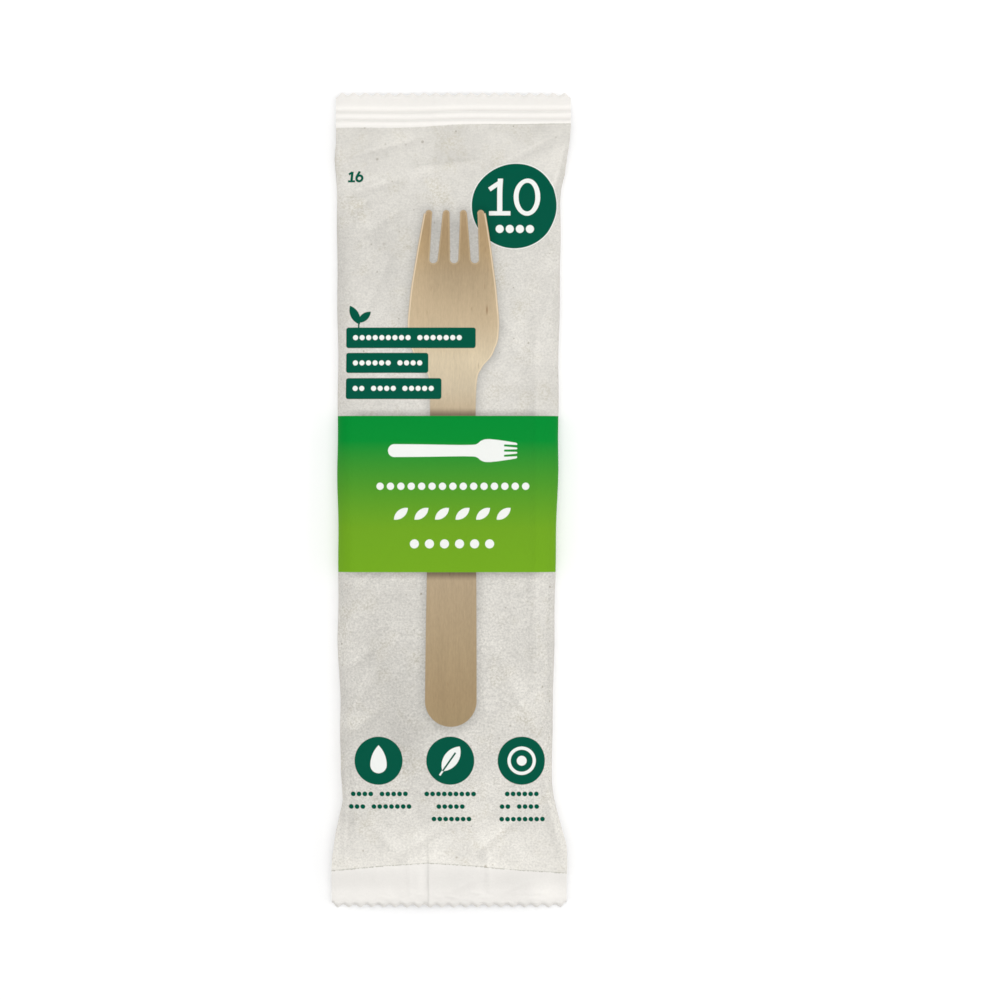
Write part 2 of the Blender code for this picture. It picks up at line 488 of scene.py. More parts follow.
def soft_folds(flat, y):
    """The depth of the broad folds at the seals and of the long one down the right side."""
    depth = np.zeros_like(flat)
    for root, reach, folds in (
        (top_root, top_closing_length, folds_at_top),
        (bottom_root, bottom_closing_length, folds_at_bottom),
    ):
        away = np.abs(y - root)
        strength = np.sin(math.pi * np.minimum(away / (1.6 * reach), 1.0))
        for place, lean, deep in folds:
            off = np.abs(flat - place - lean * away) / fold_half_width
            depth += deep * strength * eased(1.0 - off)
    side = np.abs(flat - side_fold_place) / fold_half_width
    return depth + side_fold_depth * eased(1.0 - side) * (1.0 - closing(y))


def lines_across(y, places, half_width):
    """1 along each of some lines straight across the pack, falling away to its sides."""
    return sum(np.exp(-((y - place) / half_width) ** 2) for place in places)


def end_crumple(flat, y):
    """Small sharp crumples along the toothed edge of the bottom seal."""
    chance = np.random.default_rng(31)
    total = np.zeros_like(flat)
    for _ in range(34):
        middle = np.array((chance.uniform(-26, 26), chance.uniform(-94.6, -91.8)))
        half = half_line(chance, (-0.9, 0.9), (0.7, 2.4))
        total += chance.uniform(-0.20, 0.20) * crease(flat, y, middle - half, middle + half, 0.4)
    return total


def end_ridge(flat, y):
    """A faint wavy line that the cutter leaves a little inside the bottom seal's teeth."""
    inside = 1.7 + 0.22 * np.sin(flat * 1.9) + 0.2 * np.sin(flat / 1.3 + 0.8)
    strength = 0.10 * (0.6 + 0.4 * np.sin(flat / 2.7))
    return strength * np.exp(-((y + pack_length / 2 - inside) / 0.3) ** 2)


def bent_corner(flat, y):
    """How far the bottom seal's right corner bends down, past a slanting line."""
    past = (flat - 20.5) * 0.60 - (y + 92.5) * 0.80
    return 0.15 * np.maximum(past, 0.0) * eased((-87.0 - y) / 2.0)


def outline_stray(flat, y):
    """How far a point strays to the right, so that the two outlines aren't quite even."""
    left, right = (np.interp(y, *zip(*outline)) for outline in (left_outline, right_outline))
    return np.where(flat < 0, left, right) * (2 * np.abs(flat) / tube_width) ** 3


def relief_wear_and_shading(flat, y, upper, shut, near_edge):
    """What stands out of the body's surface, and the wear, painted highlight and painted shade of
    its creases.
    """
    in_body = 1.0 - shut
    relief = np.zeros_like(flat)
    worn = np.zeros_like(flat)
    for start, end, half_width, ridge in front_creases if upper else back_creases:
        relief += crease_strength * ridge * crease(flat, y, start, end, half_width)
        worn += crease_light_and_shade(flat, y, start, end) * np.clip(ridge * 4.0, -1.0, 1.0)
    small = loose_creases(flat, y, 11 if upper else 12)
    relief += small * near_edge * (0.35 + 0.65 * in_body)
    relief += swell_height * slow_swell(flat, y, 5 if upper else 6) * near_edge * in_body
    relief += gather_height * gathers(flat, y, 21 if upper else 22) * near_edge
    if upper:
        relief -= fold_share * soft_folds(flat, y) * near_edge
        quilt = np.cos(flat * math.pi / quilt_half_length - math.pi)
        relief += quilt_height * quilt * near_edge * in_body
        over_fin = eased((flat - fin_free_edge) / 0.16 + 0.5) * eased((fin_root - flat) / 3.0)
        step = np.where(y > 0, fin_step_at_top, fin_step_at_bottom)
        relief += step * over_fin * eased(shut * 3.0 - 1.9)
    else:
        beside_fin = np.maximum(fin_free_edge - flat, flat - fin_root)
        relief -= fin_lift * eased(1.0 - beside_fin / 2.4) * in_body
    return relief, worn


def surface(flat, y, upper):
    """Points of the wrapper's upper or under layer, and what the materials read there.

    That is the print's place across, as it is seen from above, the wear and the painted highlight
    and shade of its creases, and the painted shade and highlight of the seal's crimps.
    """
    shut = closing(along_the_pack(flat, y))
    in_body = 1.0 - shut
    across, rise, face_x, face_z, radius = full_section(flat, y)
    at_top = y > 0
    level = np.where(at_top, top_seal_level, bottom_seal_level)
    shift = np.where(at_top, seal_shift, -seal_shift)
    body_shift = between_shoulders(shift_near_bottom, shift_near_top, y)
    from_edge = tube_width / 2 - np.abs(flat)
    from_end = pack_length / 2 - np.abs(y)
    inwards = eased(from_edge / edge_rounding)
    leaf = edge_leaf + (seal_leaf - edge_leaf) * inwards
    side = 1.0 if upper else -1.0

    printed = across + (flat - across) * shut + outline_stray(flat, y)
    x = body_shift * in_body + shift * shut + printed
    z = (radius + side * rise) * in_body + (level + side * leaf) * shut
    z = z + side * edge_leaf * in_body * (1.0 - inwards)

    # What stands out of the surface or is pressed into it, along the way that it faces
    near_edge = eased(from_edge / edge_reach)
    relief, worn = relief_wear_and_shading(flat, y, upper, shut, near_edge)
    swing = 0.10 * np.sin(y / 7.3 + 0.4) + 0.07 * np.sin(y / 3.1)
    edge_dent = swing * (1.0 - near_edge) * in_body
    x = x + (relief * near_edge + edge_dent) * face_x * in_body
    z = z + relief * (face_z * in_body + shut) * side

    # The seals: crimps, a light droop to the ends, and the teeth
    crimped = y - 0.35 * top_edge_wave(flat)
    ribs = lines_across(crimped, rib_places, rib_half_width)
    valleys = lines_across(crimped, valley_places, valley_half_width)
    z = z + (rib_height * ribs - valley_depth * valleys) * at_top
    z = z + end_crumple(flat, y) + end_ridge(flat, y) - bent_corner(flat, y)
    sealed = eased(np.where(at_top, y - top_root, bottom_root - y) / droop_length)
    droop = np.where(at_top, top_droop, bottom_droop) * sealed
    ripple = ripple_height * np.sin(flat / 5.2 + np.where(at_top, 0.6, 2.1)) * sealed
    curl = np.where(at_top, top_end_curl, bottom_end_curl) * eased(1.0 - from_end / curl_reach)
    z = z - droop + ripple - curl
    round_corner = corner_cut * eased(1.0 - from_edge / corner_reach)
    cut_back = (tooth(flat) + round_corner - tooth_overhang) * eased(1.0 - from_end / tooth_reach)
    y_cut = y - np.sign(y) * cut_back
    # The last value is painted shade in the crimp valleys and painted highlight on the ribs
    return x, y_cut, np.maximum(z, least_height), printed, worn, (valleys - ribs) * at_top


def row_places():
    places = [row_bands[0][0]]
    for start, end, count in row_bands:
        places += [start + (end - start) * (i + 1) / count for i in range(count)]
    return np.array(places)


def drawn_to(places, target, gap):
    """The same places, but the nearest one on each side of the target lies close beside it."""
    left = places[places <= target].max()
    right = places[places > target].min()
    drawn = np.where(places == left, target - gap / 2, places)
    return np.where(places == right, target + gap / 2, drawn)


def points_of(piece):
    places = np.zeros(len(piece.data.vertices) * 3)
    piece.data.vertices.foreach_get("co", places)
    return places.reshape(-1, 3)


def flat_sheet(name, left, right, columns):
    """A thin closed slab of paper as it lies flat, divided into rows and columns."""
    rows = row_places()
    bpy.ops.mesh.primitive_grid_add(
        x_subdivisions=columns, y_subdivisions=len(rows) - 1, size=1.0, location=(0, 0, 0)
    )
    sheet = bpy.context.object
    sheet.name = sheet.data.name = name
    places = points_of(sheet)
    row = np.rint((places[:, 1] + 0.5) * (len(rows) - 1)).astype(int)
    column = np.rint((places[:, 0] + 0.5) * columns).astype(int)
    across = left + (right - left) * np.arange(columns + 1) / columns
    if left < fin_free_edge:
        across = drawn_to(across, fin_free_edge, 0.16)
    places[:, 0] = across[column]
    places[:, 1] = rows[row]
    sheet.data.vertices.foreach_set("co", places.ravel())
    thicken = sheet.modifiers.new("paper", "SOLIDIFY")
    thicken.thickness = 1.0
    thicken.offset = 0.0
    bpy.ops.object.modifier_apply(modifier=thicken.name)
    return sheet


def lay_out(piece, from_left, y, aside):
    """A neat layout, true to the flat paper's shape, with one layer moved aside."""
    layout = piece.data.uv_layers.active
    corner = np.zeros(len(piece.data.loops), dtype=int)
    piece.data.loops.foreach_get("vertex_index", corner)
    across = (from_left / pack_length + aside + 0.02)[corner]
    along = ((y + pack_length / 2) / (pack_length + 8.0) + 0.02)[corner]
    layout.data.foreach_set("uv", np.column_stack((across, along)).ravel())


def beyond_print(flat, y):
    """How far a point lies beyond the print's end, on a seal: less than 0 on the print."""
    at_top = y - top_edge_wave(flat) - top_root
    at_bottom = bottom_root + bottom_edge_wave(flat) - y
    return np.clip(np.maximum(at_top, at_bottom), -4.0, 4.0)


def finish_mesh(piece, places, **readings):
    """Moves the points to their places and stores on them what the materials read there."""
    piece.data.vertices.foreach_set("co", (np.column_stack(places) * MM).ravel())
    for name, values in readings.items():
        is_vector = values.ndim == 2
        kind = "FLOAT_VECTOR" if is_vector else "FLOAT"
        kept = piece.data.attributes.new(name, kind, "POINT")
        kept.data.foreach_set("vector" if is_vector else "value", values.ravel())
    piece.data.update()
    clear_selection()
    piece.select_set(True)
    bpy.context.view_layer.objects.active = piece
    bpy.ops.object.shade_smooth_by_angle(angle=math.radians(50))


def make_wrapper():
    sheet = flat_sheet("wrapper", -tube_width / 2, tube_width / 2, columns_across)
    flat, y, height = points_of(sheet).T
    upper = height > 0
    formed = np.zeros((6, len(flat)))
    for layer in (True, False):
        own = upper == layer
        formed[:, own] = surface(flat[own], y[own], layer)
    x, y_cut, z, printed, worn, pressed = formed
    lay_out(sheet, flat + tube_width / 2, y, upper * (tube_width / pack_length + 0.04))
    web = np.column_stack((printed, y, upper * 1.0))
    beyond = beyond_print(flat, y)
    finish_mesh(sheet, (x, y_cut, z), web=web, beyond_print=beyond, worn=worn, pressed=pressed)
    return sheet


def make_fin():
    """The back seam: the web's two edges sealed together and folded flat against the back."""
    strip = flat_sheet("back_fin", fin_free_edge, fin_root, fin_columns)
    flat, y, height = points_of(strip).T
    free = (fin_root - flat) / (fin_root - fin_free_edge)
    flat = flat + free * (0.22 * np.sin(y / 9.0) + 0.12 * np.sin(y / 3.7 + 1.0))
    x, y_cut, z, _, _, pressed = surface(flat, y, False)
    roundness = np.minimum(eased(free * 8.0), eased((1.0 - free) * 8.0))
    thickness = fin_paper * (0.35 + 0.65 * roundness)
    z_upper = z - fin_gap
    z = np.where(height > 0, z_upper, np.maximum(z_upper - thickness, 0.5 * least_height))
    lay_out(strip, flat - fin_free_edge, y, 0.0)
    none = np.zeros_like(flat)
    web = np.column_stack((flat, y, none))
    beyond = beyond_print(flat, y)
    finish_mesh(strip, (x, y_cut, z), web=web, beyond_print=beyond, worn=none, pressed=pressed)
    return strip


# Colours and patterns

def tone(colour):
    """A colour on paper, given from 0 to 255, as a shader takes it."""
    linear = [
        c / 12.92 if c <= 0.04045 else ((c + 0.055) / 1.055) ** 2.4
        for c in (part / 255.0 for part in colour)
    ]
    return (*linear, 1.0)


class Value:
    """What a node puts out, made so that a pattern reads as a sum."""

    def __init__(self, wiring, socket):
        self.wiring = wiring
        self.socket = socket

    def __add__(self, other):
        return self.wiring.math("ADD", self, other)

    def __sub__(self, other):
        return self.wiring.math("SUBTRACT", self, other)

    def __rsub__(self, other):
        return self.wiring.math("SUBTRACT", other, self)

    def __mul__(self, other):
        return self.wiring.math("MULTIPLY", self, other)

    def __truediv__(self, other):
        return self.wiring.math("DIVIDE", self, other)

    def __abs__(self):
        return self.wiring.math("ABSOLUTE", self)


class Wiring:
    """Adds nodes to one tree and joins them."""

    def __init__(self, tree):
        self.tree = tree

    def add(self, kind, values=(), **settings):
        node = self.tree.nodes.new(kind)
        for name, value in settings.items():
            setattr(node, name, value)
        for name, value in dict(values).items():
            self.feed(node.inputs[name], value)
        return node

    def feed(self, socket, value):
        if isinstance(value, Value):
            self.tree.links.new(value.socket, socket)
        else:
            socket.default_value = value

    def read(self, kind, output=0, values=(), **settings):
        """One output of a new node."""
        return Value(self, self.add(kind, values, **settings).outputs[output])

    def math(self, operation, *values, clamp=False):
        values = enumerate(values)
        return self.read("ShaderNodeMath", 0, values, operation=operation, use_clamp=clamp)

    def least(self, *values):
        return functools.reduce(lambda a, b: self.math("MINIMUM", a, b), values)

    def most(self, *values):
        return functools.reduce(lambda a, b: self.math("MAXIMUM", a, b), values)

    def length(self, a, b):
        return self.math("SQRT", a * a + b * b)

    def share(self, value, low, high):
        """From 0 at low to 1 at high, evenly."""
        return self.math("DIVIDE", value - low, high - low, clamp=True)

    def between(self, value, low, high):
        """From 0 at low to 1 at high, eased."""
        values = {"Value": value, "From Min": low, "From Max": high}
        return self.read("ShaderNodeMapRange", "Result", values, interpolation_type="SMOOTHSTEP")

    def inside(self, distance, softness=print_softness):
        """1 inside a shape and 0 outside it, from the distance to its outline."""
        return self.math("MULTIPLY_ADD", distance, -1.0 / softness, 0.5, clamp=True)

    def over(self, under, colour, share, blend="MIX"):
        """A colour laid over another as far as share says."""
        values = {"Factor": share, 6: under, 7: colour}
        return self.read("ShaderNodeMix", 2, values, data_type="RGBA", blend_type=blend)

    def shaded(self, colour, factor):
        """A colour made lighter or darker by a factor that changes over the surface."""
        values = {"Red": factor, "Green": factor, "Blue": factor}
        grey = self.read("ShaderNodeCombineColor", 0, values)
        return self.over(colour, grey, 1.0, "MULTIPLY")

    def noise(self, place, scale, detail=2.0, roughness=0.5):
        values = {"Vector": place, "Scale": scale, "Detail": detail, "Roughness": roughness}
        return self.read("ShaderNodeTexNoise", "Fac", values)

    def stretched(self, place, scale):
        return self.read("ShaderNodeMapping", 0, {"Vector": place, "Scale": scale})

    def parts(self, kind, value):
        """The three parts of a vector (XYZ) or a colour (Color)."""
        node = self.add("ShaderNodeSeparate" + kind, {0: value})
        return [Value(self, socket) for socket in node.outputs]

    def attribute(self, name, output="Fac"):
        return self.read("ShaderNodeAttribute", output, attribute_name=name)

    def ramp(self, value, stops):
        node = self.add("ShaderNodeValToRGB", {"Fac": value})
        marks = node.color_ramp.elements
        for _ in range(len(stops) - 2):
            marks.new(0.5)
        for mark, (position, colour) in zip(marks, stops):
            mark.position = position
            mark.color = tone(colour)
        return Value(self, node.outputs["Color"])

    def place(self, group, *values):
        """What one of the groups puts out, from its values in their order."""
        node = self.add("ShaderNodeGroup", enumerate(values), node_tree=GROUPS[group])
        return {socket.name: Value(self, socket) for socket in node.outputs}

    def mask(self, group, *values):
        return self.place(group, *values)["Mask"]

    def put_out(self, **values):
        """Joins a group's results to what it puts out."""
        self.add("NodeGroupOutput", values)
        return self.tree


def new_group(name, inputs, *outputs):
    """A new shader node group: its wiring, and what comes in."""
    group = bpy.data.node_groups.new(name, "ShaderNodeTree")
    kinds = {"Place": "NodeSocketVector", "Colour": "NodeSocketColor"}
    for way, sockets in (("INPUT", inputs), ("OUTPUT", outputs)):
        for socket in sockets:
            kind = kinds.get(socket, "NodeSocketFloat")
            group.interface.new_socket(name=socket, in_out=way, socket_type=kind)
    w = Wiring(group)
    given = w.add("NodeGroupInput").outputs
    return w, [Value(w, given[socket]) for socket in inputs]


def bar_group():
    """A bar with rounded corners."""
    names = ("U", "V", "Left", "Right", "Middle", "Half height", "Corner")
    w, (u, v, left, right, middle, half_height, corner) = new_group("rounded_bar", names, "Mask")
    half_width = (right - left) * 0.5
    off_u = abs(u - (right + left) * 0.5) - (half_width - corner)
    off_v = abs(v - middle) - (half_height - corner)
    outside = w.length(w.most(off_u, 0.0), w.most(off_v, 0.0))
    distance = outside + w.least(w.most(off_u, off_v), 0.0) - corner
    return w.put_out(Mask=w.inside(distance))


def dot_row_group():
    """A row of round dots, evenly spaced."""
    names = ("U", "V", "First", "Middle", "Radius", "Pitch", "Last count")
    w, (u, v, first, middle, radius, pitch, last_count) = new_group("dot_row", names, "Mask")
    counted = (u - first) / pitch
    nearest = w.least(w.most(w.math("ROUND", counted), 0.0), last_count)
    away = w.length((counted - nearest) * pitch, v - middle)
    return w.put_out(Mask=w.inside(away - radius))


def disc_group():
    names = ("U", "V", "Middle U", "Middle V", "Radius")
    w, (u, v, middle_u, middle_v, radius) = new_group("disc", names, "Mask")
    return w.put_out(Mask=w.inside(w.length(u - middle_u, v - middle_v) - radius))


def leaf_group():
    """A pointed leaf that lies along U: where two equal circles overlap."""
    names = ("U", "V", "Half length", "Half width")
    w, (u, v, half_length, half_width) = new_group("leaf", names, "Mask")
    radius = (half_length * half_length + half_width * half_width) / (half_width * 2.0)
    distance = w.length(u, abs(v) + (radius - half_width)) - radius
    return w.put_out(Mask=w.inside(distance))


def fork_group():
    """A plain flat fork, from places measured from its middle line, with its tines upwards."""
    names = ("U", "V", "Softness")
    w, (u, v, softness) = new_group("fork_figure", names, "Mask", "Beside", "Outer")
    u = abs(u)
    low, high = fork_outline[0][0], fork_outline[-1][0]
    outline = w.add("ShaderNodeFloatCurve", {"Value": w.share(v, low, high)})
    curve = outline.mapping.curves[0]
    spots = [
        ((place - low) / (high - low), half / fork_greatest_half) for place, half in fork_outline
    ]
    curve.points[0].location, curve.points[-1].location = spots[0], spots[-1]
    for spot in spots[1:-1]:
        curve.points.new(*spot)
    outline.mapping.update()
    beside = u - Value(w, outline.outputs[0]) * fork_greatest_half
    tip_middle = fork_tips - tip_radius
    body = w.most(beside, v - tip_middle, low - v)

    above = v - (slot_bottom + slot_radius)
    below = w.least(above, 0.0)
    width = above * slot_widening + slot_radius
    outer_place = above * outer_slot_lean + outer_slot_place
    slots = w.least(w.length(u, below) - width, w.length(u - outer_place, below) - width)

    end_radius = fork_outline[0][1]
    butt = w.length(u, v - (fork_end + end_radius)) - end_radius
    tips = [w.length(u - place, v - tip_middle) - tip_radius for place in tine_places]
    shape = w.least(w.most(body, slots * -1.0), butt, *tips)
    mask = w.math("MULTIPLY_ADD", shape / softness, -1.0, 0.5, clamp=True)
    return w.put_out(Mask=mask, Beside=shape, Outer=beside)


def paper_group():
    """Mottled paper: how light it is, where its dark specks are, and its fine relief."""
    outputs = ("Lightness", "Specks", "Stains", "Grain", "Height", "Sheen")
    w, (place,) = new_group("mottled_paper", ("Place",), *outputs)
    place = w.stretched(place, (1.0 / MM, 1.0 / MM, 1.0 / MM))
    clouds = w.noise(place, 0.085, 4.0, 0.6)
    patches = w.noise(place, 0.45, 3.0, 0.6)
    grains = w.noise(place, 2.1, 1.0, 0.75)
    fibres = w.noise(w.stretched(place, (0.6, 3.0, 1.0)), 1.3, 3.0, 0.6)
    lengthwise = w.parts("XYZ", place)[1]
    coarseness = w.between(lengthwise, 25.0, -35.0) * 0.22 + 0.40
    coarseness = coarseness - w.between(abs(lengthwise), 64.0, 82.0) * 0.15
    coarseness = (clouds - 0.5) * 0.4 + coarseness
    light = (patches - 0.5) * 0.12 + ((clouds - 0.5) * 0.34 + 1.0)
    light = light + (grains - 0.5) * coarseness + (fibres - 0.5) * 0.18
    specks = []
    for scale, rarity, radius in ((0.20, 0.55, 0.085), (0.60, 0.72, 0.17)):
        cells = w.add("ShaderNodeTexVoronoi", {"Vector": place, "Scale": scale}).outputs
        red, green, blue = w.parts("Color", Value(w, cells["Color"]))
        reach = (green + 0.35) * radius
        dot = w.between(Value(w, cells["Distance"]), reach, reach * 0.4)
        specks.append(dot * w.math("GREATER_THAN", red, rarity) * (blue * 0.6 + 0.25))
    stained = w.between(w.noise(place, 0.14, 5.0, 0.65), 0.48, 0.70)
    return w.put_out(
        Lightness=light,
        Specks=w.most(*specks),
        Stains=stained * w.between(grains, 0.62, 0.36),
        Grain=grains,
        Height=grains * 0.5 + (fibres * 0.35 + patches * 0.5),
        Sheen=patches * 0.14 + clouds * 0.10,
    )


def wood_group():
    """Birch: long fine grain along the fork, a few short dark flecks, and its slow shades."""
    w, (u, v, along) = new_group("birch", ("U", "V", "Along"), "Colour")
    place = w.read("ShaderNodeCombineXYZ", 0, {"X": u, "Y": v, "Z": 3.7})
    light = 1.0
    for scale, detail, roughness, variation in wood_grains:
        grain = w.noise(w.stretched(place, scale), 1.0, detail, roughness)
        light = (grain - 0.5) * variation + light
    colour = w.shaded(w.ramp(along, wood_shades), light)
    fleck = w.between(w.noise(w.stretched(place, (1.3, 0.24, 1.0)), 1.0, 1.0), 0.74, 0.86)
    return w.put_out(Colour=w.over(colour, tone(wood_fleck_colour), fleck * 0.55))


GROUPS = {
    "bar": bar_group(), "dots": dot_row_group(), "disc": disc_group(), "leaf": leaf_group(),
    "fork": fork_group(), "paper": paper_group(), "wood": wood_group(),
}


def bars_mask(w, u, v, bars, corner=stroke_corner):
    """One mask of several bars: left, right, middle height, half height."""
    return w.most(*[w.mask("bar", u, v, *bar, min(corner, bar[3])) for bar in bars])


def dot_rows(w, u, v, radius, pitch, rows):
    """One mask of several rows of dots: first dot, middle height and how many."""
    return w.most(*[
        w.mask("dots", u, v, first, middle, radius, pitch, count - 1.0)
        for first, middle, count in rows
    ])


def turned(u, v, middle_u, middle_v, degrees):
    """Places measured from a middle, along and across a line turned by some degrees."""
    cosine, sine = math.cos(math.radians(degrees)), math.sin(math.radians(degrees))
    off_u, off_v = u - middle_u, v - middle_v
    return off_u * cosine + off_v * sine, off_v * cosine - off_u * sine


def slanted_bar(w, u, v, middle_u, middle_v, degrees, *bar):
    """A bar along a turned line, from its left, right, middle height and half height there."""
    return bars_mask(w, *turned(u, v, middle_u, middle_v, degrees), [bar])


def ring_mask(w, u, v, middle_u, middle_v, radius, thickness):
    outer = w.mask("disc", u, v, middle_u, middle_v, radius)
    return outer - w.mask("disc", u, v, middle_u, middle_v, radius - thickness)


def leaf_mask(w, u, v, middle_u, middle_v, half_length, half_width, degrees):
    along, aside = turned(u, v, middle_u, middle_v, degrees)
    return w.mask("leaf", along, aside, half_length, half_width)


def soft_spot(w, u, v, middle_u, middle_v, reach_u, reach_v):
    """1 at a place, falling softly to 0 at its reach across and along."""
    away = w.length((u - middle_u) * (1.0 / reach_u), (v - middle_v) * (1.0 / reach_v))
    return w.between(away, 1.0, 0.0)


def spotted_light(w, u, v, spots):
    """A factor of light that strays from 1 at some soft places."""
    factors = [soft_spot(w, u, v, *spot) * (light - 1.0) + 1.0 for *spot, light in spots]
    return functools.reduce(lambda a, b: a * b, factors)


def number_ten(w, u, v):
    """A plain 10: a stroke with a flag and a foot, and an upright ring."""
    stem = bars_mask(w, u, v, ((11.5, 12.7, 70.65, 4.3), (9.6, 14.6, 66.85, 0.5)))
    flag = slanted_bar(w, u, v, 10.8, 73.2, 35, -1.4, 1.8, 0.0, 0.52)
    off_u, off_v = u - 18.45, v - 70.65
    outer, inner = (
        w.mask("disc", off_u * (high / wide), off_v, 0.0, 0.0, high)
        for wide, high in ((3.1, 4.35), (1.95, 3.35))
    )
    return w.most(stem, flag, outer - inner)


def number_sixteen(w, u, v):
    """A plain small 16."""
    one = bars_mask(w, u, v, ((-22.95, -22.35, 75.4, 1.25), (-23.5, -21.8, 74.37, 0.24)))
    flag = slanted_bar(w, u, v, -23.05, 76.25, 35, -0.45, 0.5, 0.0, 0.27)
    ring = ring_mask(w, u, v, -20.85, 75.05, 0.95, 0.56)
    stem = slanted_bar(w, u, v, -21.25, 76.0, 66, -0.9, 0.8, 0.0, 0.29)
    return w.most(one, flag, ring, stem)


def disc_figures(w, u, v):
    """A drop, a leaf and a ring round a dot in the three small discs."""
    (drop_u, drop_v, _), (leaf_u, leaf_v, _), (ring_u, ring_v, _) = small_discs
    drop_v = drop_v - 1.0
    point = leaf_mask(w, u, v, drop_u, drop_v, 4.6, 1.9, 90) * w.between(v, drop_v, drop_v + 0.1)
    drop = w.most(w.mask("disc", u, v, drop_u, drop_v, 1.9), point)
    blade = leaf_mask(w, u, v, leaf_u + 0.2, leaf_v + 0.4, 3.5, 1.7, 55)
    vein = slanted_bar(w, u, v, leaf_u, leaf_v, 55, -4.2, 2.2, 0.05, 0.2)
    ring = ring_mask(w, u, v, ring_u, ring_v, 3.3, 0.75)
    return w.most(drop, abs(blade - vein), ring, w.mask("disc", u, v, ring_u, ring_v, 1.15))


def sprout(w, u, v):
    """Two leaves on a short stem that stands on the first tab."""
    return w.most(
        leaf_mask(w, u, v, -21.6, 43.1, 2.5, 1.0, 118),
        leaf_mask(w, u, v, -19.4, 42.6, 2.0, 0.85, 40),
        bars_mask(w, u, v, ((-20.85, -20.5, 40.8, 0.9),)),
    )


def leaf_row(w, u, v):
    first, middle, pitch, count = band_leaves
    places = [first + i * pitch for i in range(count)]
    return w.most(*[leaf_mask(w, u, v, place, middle, 2.1, 0.95, 40) for place in places])


def printed_figure(w, colour, u, v):
    """The large fork, with its tines a little to the right and the soft shadow round it."""
    across = u - fork_middle - w.between(v, 46.0, 68.0) * tine_stray
    near = w.math("MULTIPLY", w.mask("fork", across, v + 0.3, 6.0), 2.0, clamp=True)
    between_tines = w.between(v, 44.0, 50.0) * w.between(v, 69.0, 64.0)
    between_tines = between_tines * w.between(abs(across), 8.5, 6.5)
    shadow = w.most(near * near * figure_shadow, between_tines * tine_shadow)
    colour = w.shaded(colour, 1.0 - shadow)
    fork = w.place("fork", across, v, 0.16)
    along = w.share(v, fork_end, fork_tips)
    wood = w.place("wood", across, v, along)["Colour"]
    wood = w.shaded(wood, spotted_light(w, across, v, wood_spots))
    for edge in (band_top, band_bottom):
        beside_band = w.between(abs(v - edge), wood_shadow_reach, 0.0)
        wood = w.shaded(wood, beside_band * -wood_shadow + 1.0)
    head = w.between(v, 22.0, 34.0)
    rim = w.inside(abs(fork["Outer"] + 0.24) - 0.13, 0.22)
    wood = w.over(wood, tone(rim_colour), rim * head * 0.75)
    slot_rim = w.inside(abs(fork["Beside"] + 0.20) - 0.10, 0.22)
    wood = w.over(wood, tone(slot_rim_colour), slot_rim * head * 0.28)
    edge = w.inside(abs(fork["Beside"]) - 0.04)
    wood = w.over(wood, tone(wood_edge_colour), edge * 0.35)
    fleck = soft_spot(w, u, v, 9.2, 44.3, 0.35, 1.8)
    wood = w.over(wood, tone(dark_fleck_colour), fleck * 0.7)
    return w.over(colour, wood, fork["Mask"])


def printed_band(w, colour, u, v, front):
    """The green band round the pack, lighter towards its lower edge."""
    for edge in (band_top, band_bottom):
        shadow = w.between(abs(v - edge), band_shadow_reach, 0.0) * w.between(abs(u), 26.5, 19.0)
        colour = w.shaded(colour, shadow * front * -band_shadow + 1.0)
    greens = w.ramp(w.share(v, band_bottom, band_top), band_greens)
    mask = w.inside(abs(v - (band_top + band_bottom) / 2) - (band_top - band_bottom) / 2)
    return w.over(colour, greens, mask), mask


def front_print(w, colour, u, v, front):
    """Everything printed on the front over the paper, and how inked each place is."""
    white, green = tone(white_ink), tone(dark_green)
    middle_u, middle_v, radius = roundel
    colour = w.over(colour, white, w.mask("disc", u, v, middle_u, middle_v, radius + 0.2))
    round_green = w.mask("disc", u, v, *roundel)
    colour = w.over(colour, green, round_green)
    light = w.most(number_ten(w, u, v), dot_rows(w, u, v, *roundel_dots))
    colour = printed_figure(w, w.over(colour, white, light), u, v)

    bars = [(left, right, (low + high) / 2, (high - low) / 2) for left, right, low, high in tabs]
    inked = w.most(
        bars_mask(w, u, v, bars, tab_corner),
        dot_rows(w, u, v, *caption_dots),
        number_sixteen(w, u, v),
        sprout(w, u, v),
        *[w.mask("disc", u, v, *disc) for disc in small_discs],
    )
    colour = w.over(colour, green, inked)
    pale = w.most(dot_rows(w, u, v, *tab_dots), disc_figures(w, u, v))
    colour, band_mask = printed_band(w, w.over(colour, white, pale), u, v, front)
    emblem = w.mask("fork", (v - 11.5) * 4.0, (u - 1.45) * 4.0 + 7.6, 0.6)
    rows = [dot_rows(w, u, v, *dots) for dots in (small_band_dots, large_band_dots)]
    marks = w.most(*rows, leaf_row(w, u, v), emblem)
    return w.over(colour, white, marks), w.most(inked, round_green, band_mask)


def new_material(name):
    """A new material, its wiring, and what its shader takes in."""
    material = bpy.data.materials.new(name)
    material.use_nodes = True
    tree = material.node_tree
    return material, Wiring(tree), tree.nodes["Principled BSDF"].inputs


